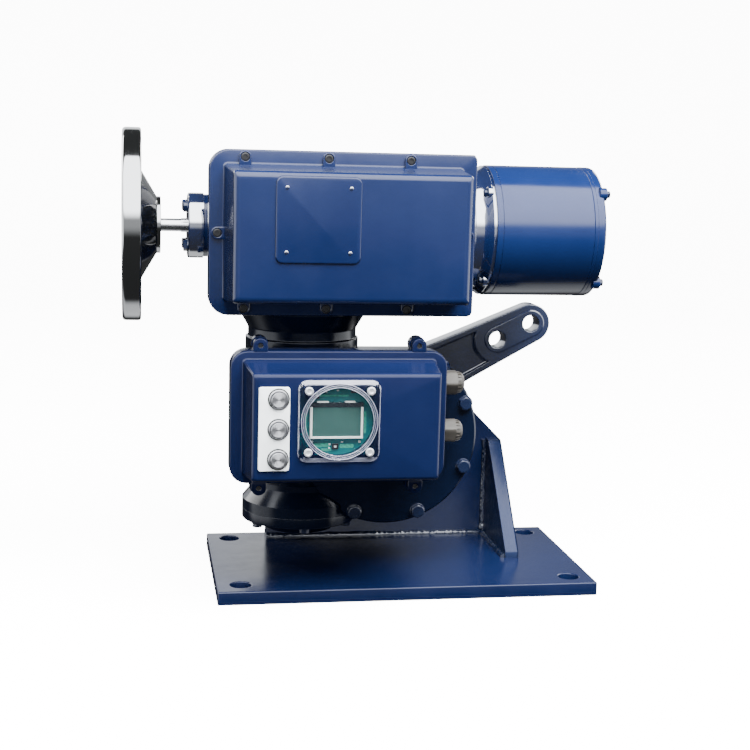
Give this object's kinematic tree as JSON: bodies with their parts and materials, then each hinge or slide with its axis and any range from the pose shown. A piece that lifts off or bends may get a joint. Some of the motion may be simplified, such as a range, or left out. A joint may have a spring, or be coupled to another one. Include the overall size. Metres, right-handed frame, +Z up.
{
  "type": "electric damper actuator",
  "caption": "Electric damper actuator: drive box with handwheel and motor on a worm gearbox that swings a rear crank arm, with a windowed push-button control box and a welded base bracket.",
  "frame": {"origin": "centre of the four base holes, on the underside of the base plate", "axes": "+X along the drive shaft towards the motor, +Y away from the control panel towards the crank arm, +Z up"},
  "size_m": [0.5097, 0.348, 0.476],
  "materials": {
    "blue_enamel": "glossy dark blue enamel",
    "black_enamel": "glossy black enamel",
    "steel": "machined steel",
    "dark_steel": "blackened steel",
    "stainless": "brushed stainless steel",
    "bronze": "bronze",
    "seal_rubber": "black rubber",
    "iron": "cast iron",
    "copper_winding": "laminations with copper windings",
    "clear_plastic": "clear window",
    "grey_plastic": "pale grey plastic",
    "plate_white": "white plate",
    "gland_plastic": "dark plastic",
    "board_green": "circuit board"
  },
  "bodies": {
    "frame": {"adapter_bolts": "blue_enamel", "barrel_bolts": "blue_enamel", "base_plate": "blue_enamel", "button_bodies": "stainless", "button_plate": "plate_white", "control_body": "blue_enamel", "control_cover": "blue_enamel", "control_gasket": "seal_rubber", "control_screws": "blue_enamel", "control_standoffs": "blue_enamel", "cover_gasket": "seal_rubber", "cover_screws": "blue_enamel", "display_board": "board_green", "drive_bearings": "steel", "gear_cover": "blue_enamel", "gear_housing": "blue_enamel", "gearbox_cover": "blue_enamel", "gearbox_cover_bolts": "blue_enamel", "gearbox_housing": "blue_enamel", "gearbox_mount_bolts": "blue_enamel", "gland_bodies": "gland_plastic", "gland_nuts": "gland_plastic", "lcd_module": "grey_plastic", "motor_adapter": "blue_enamel", "motor_bearings": "steel", "motor_end_bolts": "blue_enamel", "motor_end_cap": "blue_enamel", "motor_housing": "blue_enamel", "neck_column": "blue_enamel", "oil_plug": "blue_enamel", "output_bushes": "bronze", "pad_rivets": "blue_enamel", "rear_plate": "blue_enamel", "shaft_cap": "blue_enamel", "shaft_cap_bolts": "blue_enamel", "shaft_seals": "seal_rubber", "side_gusset": "blue_enamel", "stator": "copper_winding", "weld_beads": "blue_enamel", "window_bezel": "clear_plastic", "window_glass": "clear_plastic", "window_screws": "stainless", "worm_bearings": "steel", "worm_end_cover": "blue_enamel"},
    "drive": {"handwheel": "black_enamel", "handwheel_nut": "dark_steel", "drive_shaft": "steel", "bevel_pinion": "steel", "motor_coupling": "steel", "rotor": "steel"},
    "worm": {"worm_shaft": "steel", "bevel_gear": "steel"},
    "output": {"output_shaft": "steel", "worm_wheel": "bronze", "output_keys": "steel", "crank_arm": "blue_enamel", "crank_end_bolt": "dark_steel"},
    "button_upper_cap": {"button_upper": "stainless"},
    "button_middle_cap": {"button_middle": "stainless"},
    "button_lower_cap": {"button_lower": "stainless"}
  },
  "joints": [
    {"name": "drive_spin", "type": "hinge", "parent": "frame", "child": "drive", "pos_m": [0, 0.01, 0.376], "axis": [1, 0, 0], "range_deg": [-1496, 2464]},
    {"name": "worm_spin", "type": "hinge", "parent": "frame", "child": "worm", "pos_m": [-0.105, 0.01, 0.2], "axis": [0, 0, 1], "range_deg": [-1496, 2464]},
    {"name": "crank_swing", "type": "hinge", "parent": "frame", "child": "output", "pos_m": [-0.017, 0.1, 0.16], "axis": [0, 1, 0], "range_deg": [-56, 34]},
    {"name": "button_upper_press", "type": "slide", "parent": "frame", "child": "button_upper_cap", "axis": [0, 1, 0], "range_m": [0, 0.002], "stiffness_N_per_m": 500, "springref_m": -0.003},
    {"name": "button_middle_press", "type": "slide", "parent": "frame", "child": "button_middle_cap", "axis": [0, 1, 0], "range_m": [0, 0.002], "stiffness_N_per_m": 500, "springref_m": -0.003},
    {"name": "button_lower_press", "type": "slide", "parent": "frame", "child": "button_lower_cap", "axis": [0, 1, 0], "range_m": [0, 0.002], "stiffness_N_per_m": 500, "springref_m": -0.003}
  ],
  "couplings": [
    {"joint": "worm_spin", "follows": "drive_spin", "ratio": 1},
    {"joint": "crank_swing", "follows": "drive_spin", "ratio": -0.022727}
  ]
}
